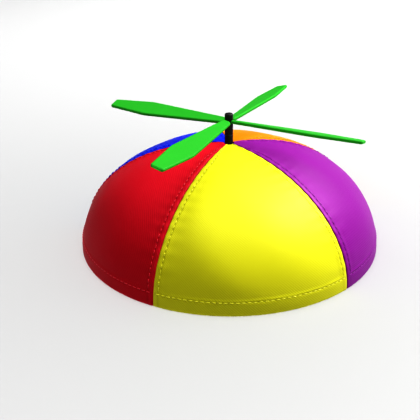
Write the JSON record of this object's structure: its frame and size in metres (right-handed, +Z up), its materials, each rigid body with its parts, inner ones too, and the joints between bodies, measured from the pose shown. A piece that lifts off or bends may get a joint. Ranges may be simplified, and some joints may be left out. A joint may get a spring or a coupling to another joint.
{
  "type": "propeller beanie",
  "caption": "Round cloth beanie sewn from bright gores, with a pitched propeller that spins freely on a spindle at its top.",
  "frame": {"origin": "centre of the rim, on the surface that the hat rests on", "axes": "+Z up along the spindle, -Y towards the middle of the yellow gore, +X to the right seen from there"},
  "size_m": [0.1834, 0.1836, 0.0812],
  "materials": {
    "cloth_yellow": "matte",
    "cloth_purple": "matte",
    "cloth_orange": "matte",
    "cloth_blue": "matte",
    "cloth_red": "matte",
    "black_plastic": "satin",
    "green_plastic": "satin"
  },
  "bodies": {
    "crown": {"gore_yellow": "cloth_yellow", "gore_purple": "cloth_purple", "gore_orange": "cloth_orange", "gore_blue": "cloth_blue", "gore_red": "cloth_red", "spindle": "black_plastic"},
    "propeller": {"hub": "black_plastic", "blade_a": "green_plastic", "blade_b": "green_plastic", "blade_c": "green_plastic", "blade_d": "green_plastic"}
  },
  "joints": [
    {"name": "propeller_spin", "type": "hinge", "parent": "crown", "child": "propeller", "pos_m": [0, 0, 0.0764], "axis": [0, 0, 1], "continuous": true}
  ]
}
